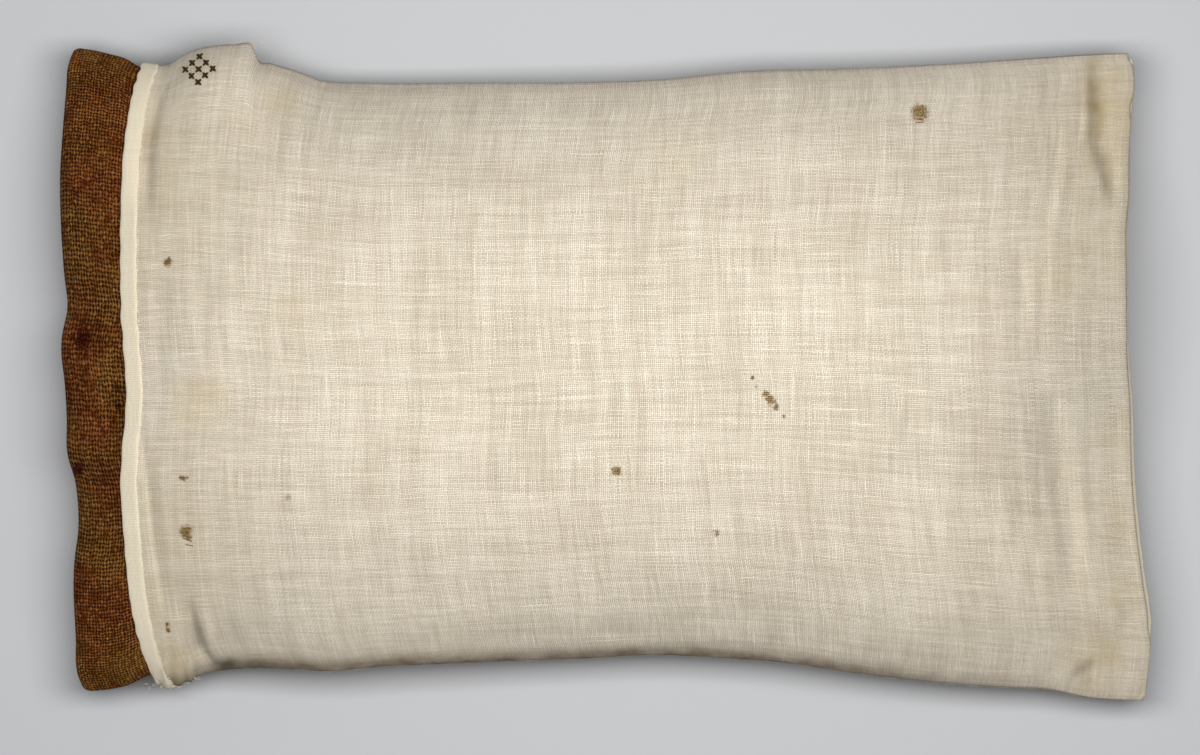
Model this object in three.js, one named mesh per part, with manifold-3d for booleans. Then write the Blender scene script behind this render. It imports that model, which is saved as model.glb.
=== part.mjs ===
// A small stuffed pillow of coarse brown wool cloth, lying flat in a slip-on linen case that is open at one end.
// Millimetres, +Z up. While it is built, x runs from the hand-closed end of the pillow (x = 0), out through the
// mouth of the case, to the case's closed end; y runs across; the floor is z = 0. The finished group is centred.
import * as THREE from 'three';
import { ParametricGeometry } from 'three/addons/geometries/ParametricGeometry.js';
import { mergeGeometries, mergeVertices } from 'three/addons/utils/BufferGeometryUtils.js';
import Module from 'manifold-3d';

const wasm = await Module();
wasm.setup();

// The pillow
const pillowLength = 321; // end to end
const waistWidth = 174; // across the middle, where it is drawn in
const flaredWidth = 198; // across the ends
const crownRise = 36; // top of the pillow above its side seams
const bellyDrop = 24; // fullness below the side seams, pressed flat where it meets the floor
const seamHeight = 20; // side seams above the floor at the waist
const seamDroop = 4; // how much lower the seams lie at the ends
const endRun = 92; // length over which the stuffing tapers to an end
const pillowCorner = 6; // rounding of the corners in plan
const woolWall = 1.2;

// The case
const mouthAt = 18.5; // how much of the pillow stands out of the mouth
const emptyEnd = 6; // slack beyond the pillow before the two layers lie flat together
const flatEnd = 12; // width of the flat part at the closed end
const caseCorner = 4;
const linenWall = 0.6;
const hemWidth = 5.4;
const hemWall = 1.4; // the turned hem is three layers of linen
const sideFit = 1.9; // case to pillow at the sides
const topFit = 0.6; // case to pillow above and below

// Threads and darns
const gap = 0.35; // between pieces that touch
const seamThread = 1.0; // thickness of a sewn seam's thread line
const hemThread = 0.6;
const darnWall = 0.7;
const mark = { fromMouth: 24.5, fromEdge: 10.5, size: 10.5, stroke: 1.3 };
const wornDarn = { size: 4.4, fromEnd: 72, fromEdge: 10 };
const middleDarn = { size: 2.6, fromEnd: 166, fromEdge: 57 };
const mouthDarn = { size: 3.2, fromEnd: 299, fromEdge: 44 };
const tickingDarns = { far: { x: 6, y: 10, size: 5 }, near: { x: 7, y: -29, size: 4 } };

// Fineness of the faceted surfaces
const acrossSteps = 14;
const pillowStations = 20;
const threadSteps = 22;
const threadSides = 6;

const caseEnd = pillowLength + emptyEnd + flatEnd;
const panelStart = mouthAt + hemWidth + hemThread + 2 * gap;
const floorToTicking = topFit + linenWall;

// Share of the full height at a distance d in from an end of the stuffing.
function taper(d) {
  if (d <= 0) return 0;
  return d >= endRun ? 1 : (1 - (1 - d / endRun) ** 2) ** 0.65;
}

// What a corner of radius r takes off the half width at a distance d in from the end.
function cornerCut(d, r) {
  return d >= r ? 0 : r - Math.sqrt(r * r - (r - Math.max(d, 0)) ** 2);
}

const fromWaist = (x) => Math.abs((2 * x) / caseEnd - 1);
const halfWidth = (x) => (waistWidth + (flaredWidth - waistWidth) * fromWaist(x) ** 2.2) / 2;
const seamZ = (x) => floorToTicking + seamHeight - seamDroop * fromWaist(x) ** 3;
const bulge = (s) => Math.max(1 - s * s, 0) ** 0.62;

// A station of the ticking, `deep` inside its outer face: reach to the side, above and below the seam.
function tickingSection(x, deep) {
  const full = taper(x - deep) * taper(pillowLength - deep - x);
  const cut = Math.max(cornerCut(x, pillowCorner), cornerCut(pillowLength - x, pillowCorner));
  const rim = woolWall + gap - deep;
  return {
    side: halfWidth(x) - cut - deep,
    up: crownRise * full + rim,
    down: bellyDrop * full + rim,
    floor: floorToTicking + deep,
  };
}

// A station of the case, `out` beyond its inner face. It follows the pillow, then lies flat past its end.
function caseSection(x, out) {
  const full = taper(x + topFit + out) * taper(pillowLength + emptyEnd + out - x);
  const rim = (woolWall + gap + topFit) * Math.min(1, 4 * full) + gap * (1 - Math.min(1, 4 * full)) + out;
  return {
    side: halfWidth(x) - cornerCut(caseEnd - x, caseCorner) + sideFit + out,
    up: crownRise * full + rim,
    down: bellyDrop * full + rim,
    floor: linenWall - out,
  };
}

// The face of a section over its top or under its belly: the place at x, a share s of the way to its side.
const over = (section) => (x, s) => {
  const { side, up } = section(x);
  return new THREE.Vector3(x, side * s, seamZ(x) + gap / 2 + up * bulge(s));
};
const under = (section) => (x, s) => {
  const { side, down, floor } = section(x);
  return new THREE.Vector3(x, side * s, Math.max(floor, seamZ(x) - gap / 2 - down * bulge(s)));
};

// Places from one value to another, closer together towards both ends.
function stations(from, to, count) {
  return Array.from({ length: count + 1 }, (_, k) => (
    THREE.MathUtils.lerp(from, to, (1 - Math.cos((Math.PI * k) / count)) / 2)
  ));
}

// Every layer of cloth bends at the same stations, so that facets of neighbours stay parallel.
const lengthwise = stations(0, pillowLength, pillowStations);
const sideways = stations(-1, 1, acrossSteps);
const sharedStations = (from, to) => [from, ...lengthwise.filter((x) => x > from + gap && x < to - gap), to];

// A closed body between a lower and an upper face, with a corner at every station and share.
function slab(xs, shares, lower, upper) {
  const along = xs.length - 1;
  const across = shares.length - 1;
  const at = (u, v, w) => (w ? upper : lower)(xs[Math.round(u * along)], shares[Math.round(v * across)]);
  const patch = (place, slices, stacks) => (
    new ParametricGeometry((p, q, target) => target.copy(place(p, q)), slices, stacks)
  );
  return mergeGeometries([
    patch((p, q) => at(p, q, 1), along, across),
    patch((p, q) => at(q, p, 0), across, along),
    patch((p, q) => at(1, p, q), across, 1),
    patch((p, q) => at(0, q, p), 1, across),
    patch((p, q) => at(q, 1, p), 1, along),
    patch((p, q) => at(p, 0, q), along, 1),
  ]);
}

// A sheet of cloth over the top or under the belly, between an outer and an inner section.
function sheet(face, xs, outer, inner, shares = sideways) {
  return face === 'top'
    ? slab(xs, shares, over(inner), over(outer))
    : slab(xs, shares, under(outer), under(inner));
}

const ticking = (face) => (
  sheet(face, lengthwise, (x) => tickingSection(x, 0), (x) => tickingSection(x, woolWall))
);

function casePanel(face) {
  const filledPart = sharedStations(panelStart, pillowLength);
  const flatPart = stations(pillowLength + emptyEnd, caseEnd, 4);
  return sheet(face, [...filledPart, ...flatPart], (x) => caseSection(x, linenWall), (x) => caseSection(x, 0));
}

function mouthHem(face) {
  const xs = [mouthAt, mouthAt + hemWidth / 2, mouthAt + hemWidth];
  return sheet(face, xs, (x) => ({ ...caseSection(x, hemWall), floor: 0 }), (x) => caseSection(x, 0));
}

// The stuffing fills the ticking but for a small gap, from where it is thick enough to hold any.
function filling() {
  const section = (x) => tickingSection(x, woolWall + gap);
  return slab(lengthwise.slice(2, -2), sideways, under(section), over(section));
}

// A thread of round section along a line of points.
function thread(points, thick) {
  const round = new THREE.Shape(Array.from({ length: threadSides }, (_, k) => {
    const turn = (2 * Math.PI * k) / threadSides;
    return new THREE.Vector2(Math.cos(turn), Math.sin(turn)).multiplyScalar(thick / 2);
  }));
  const path = new THREE.CatmullRomCurve3(points);
  return new THREE.ExtrudeGeometry(round, { steps: threadSteps, extrudePath: path });
}

// The line of a side seam's thread, just outside the edges that it joins.
function sideSeam(from, to, section, side) {
  const line = stations(from, to, 10).map((x) => {
    const reach = section(x).side + gap + seamThread / 2;
    return new THREE.Vector3(x, side * reach, seamZ(x));
  });
  return thread(line, seamThread);
}

// The line of a seam across an end, past the edges by the same gap.
function endSeam(x, outward, reach) {
  const place = x + outward * (gap + seamThread / 2);
  return thread([-1, -0.5, 0, 0.5, 1].map((s) => new THREE.Vector3(place, s * reach, seamZ(x))), seamThread);
}

// The hem's stitching, in the line between the hem and the panel.
function hemStitches(face) {
  const x = mouthAt + hemWidth + gap + hemThread / 2;
  const section = (at) => ({ ...caseSection(at, linenWall / 2), floor: hemThread / 2 });
  const place = (face === 'top' ? over : under)(section);
  return thread(stations(-0.985, 0.985, acrossSteps).map((s) => place(x, s)), hemThread);
}

// A darn or mark lying on a cloth's top face, centred on a place and following the cloth.
function onTop(section, x, y, size, wall) {
  const reach = section(x, 0).side;
  const shares = [-1, -0.5, 0, 0.5, 1].map((k) => (y + (k * size) / 2) / reach);
  const xs = [x - size / 2, x, x + size / 2];
  return sheet('top', xs, (at) => section(at, gap + wall), (at) => section(at, gap), shares);
}

const onCase = (x, out) => caseSection(x, linenWall + out);
const onTicking = (x, out) => tickingSection(x, -out);

function caseDarn({ size, fromEnd, fromEdge }, side) {
  const x = caseEnd - fromEnd;
  return onTop(onCase, x, side * (halfWidth(x) - fromEdge), size, darnWall);
}

function solidOf(geometry) {
  const bare = new THREE.BufferGeometry().copy(geometry);
  ['normal', 'uv'].forEach((name) => bare.deleteAttribute(name));
  const merged = mergeVertices(bare, 1e-4);
  const vertProperties = new Float32Array(merged.attributes.position.array);
  const triVerts = new Uint32Array(merged.index.array);
  return new wasm.Manifold(new wasm.Mesh({ numProp: 3, vertProperties, triVerts }));
}

function geometryOf(solid) {
  const mesh = solid.getMesh();
  const geometry = new THREE.BufferGeometry();
  geometry.setAttribute('position', new THREE.BufferAttribute(mesh.vertProperties, mesh.numProp));
  geometry.setIndex(new THREE.BufferAttribute(mesh.triVerts, 1));
  return geometry;
}

// A plain lozenge lattice in cross-stitch, cut from a patch that follows the cloth.
function crossStitchMark() {
  const x = mouthAt + mark.fromMouth;
  const y = halfWidth(x) - mark.fromEdge;
  const patch = onTop(onCase, x, y, mark.size, darnWall);
  const tall = 2 * (crownRise + bellyDrop);
  const bars = [-1, 0, 1].flatMap((step) => [1, -1].map((lean) => {
    const bar = new THREE.BoxGeometry(2 * mark.size, mark.stroke, tall);
    bar.translate(0, (step * mark.size) / 3, 0);
    bar.rotateZ((lean * Math.PI) / 4);
    bar.translate(x, y, tall / 2);
    return solidOf(bar);
  }));
  const lattice = bars.reduce((joined, bar) => joined.add(bar));
  return geometryOf(solidOf(patch).intersect(lattice));
}

const wool = { color: 0x5b3814, roughness: 0.95, metalness: 0 };
const woolThread = { color: 0x4a2312, roughness: 0.95, metalness: 0 };
const fleece = { color: 0xd8cdb6, roughness: 1, metalness: 0 };
const linen = { color: 0xe9dccb, roughness: 0.9, metalness: 0 };
const hemLinen = { color: 0xe6d8bd, roughness: 0.88, metalness: 0 };
const linenThread = { color: 0xeee4d0, roughness: 0.8, metalness: 0 };
const markThread = { color: 0x33270f, roughness: 0.8, metalness: 0 };
const darnThread = { color: 0x8c7a4a, roughness: 0.85, metalness: 0 };

const group = new THREE.Group();

function add(name, geometry, finish) {
  const mesh = new THREE.Mesh(geometry, new THREE.MeshStandardMaterial(finish));
  mesh.name = name;
  group.add(mesh);
}

const tickingSide = (x) => tickingSection(x, 0);
const caseSide = (x) => caseSection(x, linenWall);

add('ticking_top', ticking('top'), wool);
add('ticking_base', ticking('base'), wool);
add('pillow_filling', filling(), fleece);
add('ticking_seam_far', sideSeam(pillowCorner, pillowLength - pillowCorner, tickingSide, 1), woolThread);
add('ticking_seam_near', sideSeam(pillowCorner, pillowLength - pillowCorner, tickingSide, -1), woolThread);
add('ticking_closing_seam', endSeam(0, -1, halfWidth(0) - pillowCorner), woolThread);
add('ticking_inner_seam', endSeam(pillowLength, 1, halfWidth(pillowLength) - pillowCorner), woolThread);
Object.entries(tickingDarns).forEach(([side, { x, y, size }]) => {
  add(`ticking_darn_${side}`, onTop(onTicking, x, y, size, darnWall), woolThread);
});
add('case_top', casePanel('top'), linen);
add('case_base', casePanel('base'), linen);
add('mouth_hem_top', mouthHem('top'), hemLinen);
add('mouth_hem_base', mouthHem('base'), hemLinen);
add('hem_stitches_top', hemStitches('top'), linenThread);
add('hem_stitches_base', hemStitches('base'), linenThread);
add('case_seam_far', sideSeam(panelStart, caseEnd - caseCorner, caseSide, 1), linenThread);
add('case_seam_near', sideSeam(panelStart, caseEnd - caseCorner, caseSide, -1), linenThread);
add('case_end_seam', endSeam(caseEnd, 1, halfWidth(caseEnd) - caseCorner), linenThread);
add('cross_stitch_mark', crossStitchMark(), markThread);
add('worn_darn', caseDarn(wornDarn, 1), darnThread);
add('middle_darn', caseDarn(middleDarn, -1), darnThread);
add('mouth_darn', caseDarn(mouthDarn, -1), darnThread);

const box = new THREE.Box3().setFromObject(group);
group.position.set(-(box.min.x + box.max.x) / 2, -(box.min.y + box.max.y) / 2, -box.min.z);

export default group;
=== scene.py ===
# %% [markdown]
# # A small wool pillow in a linen case
# A stuffed pillow of coarse brown wool cloth lies in a cream linen slip case that is open at one end. This
# lesson builds it round the packed CAD model, which fixes every size and says what moves: the pillow slides
# out of the case. All working sizes are in millimetres, and they become metres when a mesh is filled in.

# %% Load the packed model
import math

import bmesh
import bpy
import numpy as np
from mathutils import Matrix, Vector
from mathutils.bvhtree import BVHTree


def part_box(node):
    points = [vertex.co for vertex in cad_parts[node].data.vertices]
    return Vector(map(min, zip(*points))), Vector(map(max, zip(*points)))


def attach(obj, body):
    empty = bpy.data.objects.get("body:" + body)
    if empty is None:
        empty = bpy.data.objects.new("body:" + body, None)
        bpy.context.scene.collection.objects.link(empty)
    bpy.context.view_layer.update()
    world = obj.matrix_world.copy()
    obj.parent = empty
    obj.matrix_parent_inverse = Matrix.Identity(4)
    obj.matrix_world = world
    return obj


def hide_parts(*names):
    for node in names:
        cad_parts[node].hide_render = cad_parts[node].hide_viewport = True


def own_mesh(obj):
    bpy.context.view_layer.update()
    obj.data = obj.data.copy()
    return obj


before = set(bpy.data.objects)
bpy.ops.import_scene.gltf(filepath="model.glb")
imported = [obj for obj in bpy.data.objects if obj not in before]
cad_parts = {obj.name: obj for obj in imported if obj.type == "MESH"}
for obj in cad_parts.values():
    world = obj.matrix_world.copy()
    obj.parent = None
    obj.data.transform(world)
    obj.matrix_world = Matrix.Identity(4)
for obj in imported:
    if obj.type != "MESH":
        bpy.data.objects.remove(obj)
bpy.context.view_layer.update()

# %% [markdown]
# ## The camera
# The object is looked at from straight above. A long lens from two metres up shows a soft, thick thing with
# hardly any perspective. The lens is worked out from the width that the picture takes in at the height of
# the side seams.

# %% The camera
MM = 0.001
camera_height = 2.0
seam_level = 0.02
picture_width = 0.3732
sensor = 36.0
camera_over = (-0.0017, -0.0017)

scene = bpy.context.scene
scene.view_settings.view_transform = "Standard"
camera = bpy.data.objects.new("camera", bpy.data.cameras.new("camera"))
scene.collection.objects.link(camera)
camera.location = (*camera_over, camera_height)
camera.data.sensor_width = sensor
camera.data.lens = sensor * (camera_height - seam_level) / picture_width
scene.camera = camera
print(f"lens {camera.data.lens:.0f} mm")

# %% [markdown]
# ## Light and floor
# Folds in cloth are shown by their shading, so one broad soft light hangs low over the object, a little to
# the right of its middle, and its light falls off towards the sides. A dim even surround keeps the shadows
# open. The floor is a plain pale plane.

# %% Light and floor
def soft_light(name, place, size, power):
    """An area light, of a width and a length, that faces straight down."""
    lamp = bpy.data.objects.new(name, bpy.data.lights.new(name, "AREA"))
    scene.collection.objects.link(lamp)
    lamp.data.shape = "RECTANGLE"
    lamp.data.size, lamp.data.size_y = size
    lamp.data.energy = power
    lamp.location = place


soft_light("key_light", place=(0.022, 0.030, 0.60), size=(0.74, 0.24), power=4.30)

surround = bpy.data.worlds.new("surround")
surround.use_nodes = True
surround.node_tree.nodes["Background"].inputs["Color"].default_value = (0.96, 0.98, 1.0, 1.0)
surround.node_tree.nodes["Background"].inputs["Strength"].default_value = 0.17
scene.world = surround

floor_bm = bmesh.new()
bmesh.ops.create_grid(floor_bm, x_segments=2, y_segments=2, size=2.5)
floor = bpy.data.objects.new("floor", bpy.data.meshes.new("floor"))
floor_bm.to_mesh(floor.data)
floor_bm.free()
scene.collection.objects.link(floor)
print(f"floor {floor.dimensions.x:.0f} m wide, lights: {len(bpy.data.lights)}")

# %% [markdown]
# ## Sums in a material
# A woven finish is mostly arithmetic: where am I across this thread, is it over or under the next one. The
# nodes could be made and linked one by one, but then the sum can't be read any more. So `Tone` wraps a
# node's output, and a plain sum in Python adds the Math nodes for it. `Finish` makes a material and any
# other node.

# %% Tone and Finish
class Tone:
    """An output inside a finish. Arithmetic on it adds Math nodes."""

    def __init__(self, finish, socket):
        self.finish, self.socket = finish, socket

    def math_node(self, how, *values):
        return self.finish.node("ShaderNodeMath", {"operation": how}, dict(enumerate(values)))

    def __add__(self, other):
        return self.math_node("ADD", self, other)

    def __sub__(self, other):
        return self.math_node("SUBTRACT", self, other)

    def __rsub__(self, other):
        return self.math_node("SUBTRACT", other, self)

    def __mul__(self, other):
        return self.math_node("MULTIPLY", self, other)

    def __truediv__(self, other):
        return self.math_node("DIVIDE", self, other)

    def __pow__(self, other):
        return self.math_node("POWER", self, other)

    __radd__, __rmul__ = __add__, __mul__

    def whole(self):
        return self.math_node("FLOOR", self)

    def limited(self):
        return self.finish.node("ShaderNodeClamp", {}, {"Value": self})

    def rising(self, low, high):
        """0 below low, 1 above high, and a smooth step between them."""
        return self.finish.node(
            "ShaderNodeMapRange", {"interpolation_type": "SMOOTHSTEP"},
            {"Value": self, "From Min": low, "From Max": high},
        )


class Finish:
    """A material: one Principled shader, whose plain numbers are set on its own sockets."""

    def __init__(self, name, **plain):
        self.material = bpy.data.materials.new(name)
        self.material.use_nodes = True
        self.tree = self.material.node_tree
        self.shader = self.tree.nodes["Principled BSDF"]
        for socket, value in plain.items():
            self.shader.inputs[socket.replace("_", " ")].default_value = value

    def node(self, kind, settings=None, sockets=None, out=0):
        made = self.tree.nodes.new(kind)
        for key, value in (settings or {}).items():
            setattr(made, key, value)
        for key, value in (sockets or {}).items():
            if isinstance(value, Tone):
                self.tree.links.new(value.socket, made.inputs[key])
            else:
                made.inputs[key].default_value = value
        return Tone(self, made.outputs[out])

    def mixed(self, share, first, second):
        """The second colour over the first, by share."""
        colours = {0: share, 6: first, 7: second}
        return self.node("ShaderNodeMix", {"data_type": "RGBA"}, colours, out=2)

    def place(self, x, y, z=0.0):
        return self.node("ShaderNodeCombineXYZ", {}, {0: x, 1: y, 2: z})

    def cloud(self, vector, scale, detail=2.0, rough=0.5):
        """Smooth noise between 0 and 1."""
        look = {"Vector": vector, "Scale": scale, "Detail": detail, "Roughness": rough}
        return self.node("ShaderNodeTexNoise", {}, look)

    def away_from(self, at, x, y, tall=1.0):
        """The level distance in metres from a place in millimetres. `tall` stretches its circle along y."""
        level = self.node("ShaderNodeVectorMath", {"operation": "MULTIPLY"}, {0: at, 1: (1, 1 / tall, 0)})
        spot = (x * MM, y / tall * MM, 0)
        return self.node("ShaderNodeVectorMath", {"operation": "DISTANCE"}, {0: level, 1: spot}, out=1)

    def shows(self, socket, tone):
        self.tree.links.new(tone.socket, self.shader.inputs[socket])

    def bumped(self, height, distance, strength):
        relief = {"Height": height, "Distance": distance, "Strength": strength}
        self.shows("Normal", self.node("ShaderNodeBump", {}, relief))


def colour(*channels):
    """A screen colour, 0 to 255 a channel, as the linear light that a shader takes."""
    shares = [channel / 255 for channel in channels]
    return tuple(s / 12.92 if s <= 0.04045 else ((s + 0.055) / 1.055) ** 2.4 for s in shares) + (1.0,)


print("a finish can be:", ", ".join(name for name in vars(Finish) if not name.startswith("_")))


# %% Floor finish
paper = Finish("pale_floor", Roughness=0.9, Base_Color=colour(196, 197, 199))
floor.data.materials.append(paper.material)
print("floor finish:", paper.material.name)

# %% [markdown]
# ## A plain weave
# Both cloths are plain weave: each thread goes over one and under the next. A wave texture would give
# stripes that never cross over and under, so the weave is worked out instead. It is laid out in millimetres
# on the flat cloth, which every piece carries in its "weave" attribute, so the threads bend with the folds.
# Each thread has a tone of its own that drifts along it, as hand-spun yarn has, and the small gaps between
# threads are dark.

# %% A plain weave
def weave_of(finish, pitch_along, pitch_across, wander, ripple, drift):
    """A plain weave: its height, the top thread's tone, the gaps, the place on it and both threads' tones."""
    cloth = finish.node("ShaderNodeAttribute", {"attribute_name": "weave"}, out=1)
    look = {"Vector": cloth, "Scale": ripple, "Detail": 3.0, "Roughness": 0.6}
    waver = finish.node("ShaderNodeTexNoise", {}, look, out=1)
    split = finish.node("ShaderNodeSeparateXYZ", {}, {0: cloth})
    along, across = split, Tone(finish, split.socket.node.outputs[1])
    lean = finish.node("ShaderNodeSeparateXYZ", {}, {0: waver})
    u = (along + (lean - 0.5) * wander) / pitch_along
    v = (across + (Tone(finish, lean.socket.node.outputs[1]) - 0.5) * wander) / pitch_across
    profile_u = u.math_node("PINGPONG", u, 0.5) * 2
    profile_v = v.math_node("PINGPONG", v, 0.5) * 2
    over = (u.math_node("SINE", u * math.pi) * v.math_node("SINE", v * math.pi) * 2.5 + 0.5).limited()
    upright = finish.cloud(finish.place(u.whole() * 7.13, across / drift), 1.0, 2.5, 0.6)
    level = finish.cloud(finish.place(along / drift, v.whole() * 6.37, 40.0), 1.0, 2.5, 0.6)
    tone = over * level + (1 - over) * upright
    height = over * profile_v + (1 - over) * profile_u
    gaps = (1 - profile_u) * (1 - profile_v)
    return height, tone, gaps, cloth, along, across, upright, level


print("weave_of is ready for the linen and the wool")

# %% [markdown]
# ## The case's linen
# Old linen is a warm cream. Broad bands of slightly greyer and pinker yarn cross it both ways and make
# faint rectangles, a few thick threads stand out pale, and there are yellow stains, broad ones at the ends
# that also stand in for their shade. Painted shade darkens the near fold, the creases and the tucks. Small
# worn spots are darker.

# %% The case's linen
cream_light, cream_dark = colour(255, 245, 226), colour(182, 167, 143)
# Greys and the lighter olive: painted shade in folds, creases and tucks. Yellow: stains, and shade at the
# ends.
stain_and_shade_yellow, worn_olive = colour(203, 182, 134), colour(92, 62, 10)
painted_shade_grey, painted_tuck_shadow_grey = colour(126, 108, 80), colour(92, 84, 58)
painted_crease_shadow_olive, worn_gold = colour(152, 132, 88), colour(176, 142, 78)
# The grey and olive entries are painted shade in the creases and tucks; the rest are stains.
# Place x and y, reach, how much longer it is along y, strength and tint.
stains_and_painted_shade = [
    # The four broad yellow patches at the ends are stains that also stand in for the shade of the sloping
    # ends.
    (-158, 60, 62, 1, 0.5, stain_and_shade_yellow), (-158, -60, 62, 1, 0.5, stain_and_shade_yellow),
    (172, 56, 56, 1, 0.45, stain_and_shade_yellow), (172, -56, 60, 1, 0.25, stain_and_shade_yellow),
    (157, 84, 15, 1, 0.6, stain_and_shade_yellow), (-124, -9, 12, 1, 0.75, stain_and_shade_yellow),
    (-140, 74, 7, 1, 0.6, stain_and_shade_yellow), (152, -88, 14, 1, 0.6, stain_and_shade_yellow),
    (160, -70, 8, 1, 0.5, stain_and_shade_yellow), (-134, -90, 9, 1, 0.8, stain_and_shade_yellow),
    (160, -20, 11, 1, 0.3, stain_and_shade_yellow), (-95, 18, 12, 1, 0.3, stain_and_shade_yellow),
    (138, 30, 12, 1, 0.25, stain_and_shade_yellow), (20, 66, 16, 1, 0.25, stain_and_shade_yellow),
    (-100, 84, 9, 1, 0.5, stain_and_shade_yellow), (151.6, 84, 5.5, 4.5, 1.0, painted_crease_shadow_olive),
    (155.6, 62, 3.6, 3.5, 0.8, painted_crease_shadow_olive), (-117.4, -91.4, 6, 0.6, 1.9, painted_tuck_shadow_grey),
    (-108, -91.8, 6.5, 0.5, 1.4, painted_tuck_shadow_grey), (-126, -80, 4, 1.5, 0.5, painted_shade_grey),
    (-134, -97, 4, 1, 0.8, painted_shade_grey), (-102, -92, 6, 1, 0.7, painted_shade_grey),
    (149, -93, 5, 1, 0.55, painted_shade_grey), (161.5, -75, 3.5, 1, 0.5, painted_shade_grey),
    (-141, 72, 5, 1.5, 0.4, painted_shade_grey), (-104, 95, 5, 1, 0.4, painted_shade_grey),
]
# Place x and y, reach and strength.
worn = [
    (-134.3, 33.6, 1.5, 1.3), (-130.2, -32.5, 0.7, 1.2), (-129.2, -32.7, 0.8, 1.3),
    (-128.2, -32.4, 0.6, 1.0), (-135.5, -78.2, 0.8, 1.3), (-135.3, -79.9, 0.8, 1.3),
    (50.4, -8.6, 1.6, 0.95), (52.0, -10.6, 1.1, 1.0), (48.9, -6.8, 1.3, 0.9), (44.8, -1.8, 0.7, 1.0),
    (45.9, -4.5, 0.5, 0.6), (54.4, -13.4, 0.7, 0.8), (3.3, -30.2, 1.6, 0.75), (34.0, -49.3, 1.2, 0.7),
    (-96.9, -38.6, 1.1, 0.45), (96.9, 80.2, 2.8, 0.75), (-128.8, -49.0, 2.1, 1.3),
    (-128.0, -50.8, 1.2, 0.9),
]


def linen_finish(name, light, dark, pitch, contrast, banding, slubby, stained_and_shaded):
    """Linen of a light and a dark cream. The last flag adds the stains, and the painted shade along the near
    fold and in the creases and tucks; the hem has neither.
    """
    linen = Finish(name, Roughness=0.88, Sheen_Weight=0.12, Sheen_Roughness=0.5, Specular_IOR_Level=0.25)
    height, tone, gaps, cloth, along, across, upright, level = weave_of(
        linen, *pitch, wander=1.6, ripple=0.045, drift=20.0)
    bands = (linen.cloud(linen.place(along / 5.5, across / 70.0), 1.0, 2.0) - 0.5
             + (linen.cloud(linen.place(along / 80.0, across / 5.0, 9.0), 1.0, 2.0) - 0.5) * 0.65)
    patches = linen.cloud(cloth, 0.035, 3.0) - 0.5
    slubs = (upright.rising(0.64, 0.72) + level.rising(0.64, 0.72)) * slubby
    fleck = linen.cloud(cloth, 1.8, 1.5)
    coarser = along.rising(215.0, 300.0) * 1.1 + 1.3
    pinholes = gaps * fleck.rising(0.4, 0.6) * 1.6 + (1 - height) ** 2 * (fleck + 0.1) * 1.2
    share = 0.83 + (tone - 0.5) * contrast + (fleck - 0.5) * coarser + bands * banding
    share = share + patches * 0.3 + slubs - pinholes
    cream = linen.mixed(share.limited(), dark, light)
    pinker = linen.cloud(linen.place(along / 9.0, across / 60.0, 21.0), 1.0, 2.0).rising(0.5, 0.75)
    cream = linen.mixed(pinker * 0.35, cream, linen.mixed(share.limited(), dark, colour(255, 239, 223)))
    at = linen.node("ShaderNodeTexCoord", {}, out=3)
    spot_edge = linen.cloud(at, 900.0, 3.0, 0.7)
    # Painted shade: a grey-brown darkens the near fold and its underside, fading towards the closed end.
    if stained_and_shaded:
        near_edge_painted_shade = (0 - across).rising(95.0, 108.0) * (linen.cloud(at, 130.0, 3.0) * 1.5 + 0.1)
        near_edge_painted_shade = near_edge_painted_shade * (1 - along.rising(190.0, 280.0) * 0.85)
        cream = linen.mixed(near_edge_painted_shade.limited(), cream, painted_shade_grey)
    # Stains, and painted shade: the grey and olive entries darken creases and tucks, the broad yellow ones
    # the ends.
    for x, y, reach, tall, strength, tint in stains_and_painted_shade if stained_and_shaded else []:
        soft = 1 - linen.away_from(at, x, y, tall).rising(0.1 * reach * MM, 1.1 * reach * MM)
        cream = linen.mixed((soft * strength * linen.cloud(at, 160.0, 2.0)).limited(), cream, tint)
    for x, y, reach, strength in worn:
        far = linen.away_from(at, x, y)
        halo = 1 - far.rising(0.2 * reach * MM, 1.5 * reach * MM)
        cream = linen.mixed((halo * strength * 0.5).limited(), cream, worn_gold)
        ragged = 1 - (far + (spot_edge - 0.5) * 3.0 * reach * MM).rising(0.35 * reach * MM, 1.1 * reach * MM)
        between_threads = 1.3 - height * 1.1 + gaps * 0.8
        cream = linen.mixed((ragged * strength * between_threads).limited(), cream, worn_olive)
    linen.shows("Base Color", cream)
    linen.bumped(height + (upright + level) * 0.5, 0.00018, 0.8)
    print(name, "has", len(linen.tree.nodes), "nodes")
    return linen.material


linen_pitch, hem_pitch = (0.457, 0.535), (0.40, 0.47)
case_linen = linen_finish("case_linen", cream_light, cream_dark, linen_pitch, 1.8, 0.46, 0.16, stained_and_shaded=True)
hem_light, hem_dark = colour(255, 246, 222), colour(232, 216, 185)
hem_linen = linen_finish("hem_linen", hem_light, hem_dark, hem_pitch, 1.1, 0.2, 0.08, stained_and_shaded=False)

# %% [markdown]
# ## The pillow's wool
# The wool is coarse, about seven threads to the centimetre, and loosely woven, so dark gaps show between
# the threads. The brown drifts from olive to a dark red, and the yarn is fuzzy.

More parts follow.
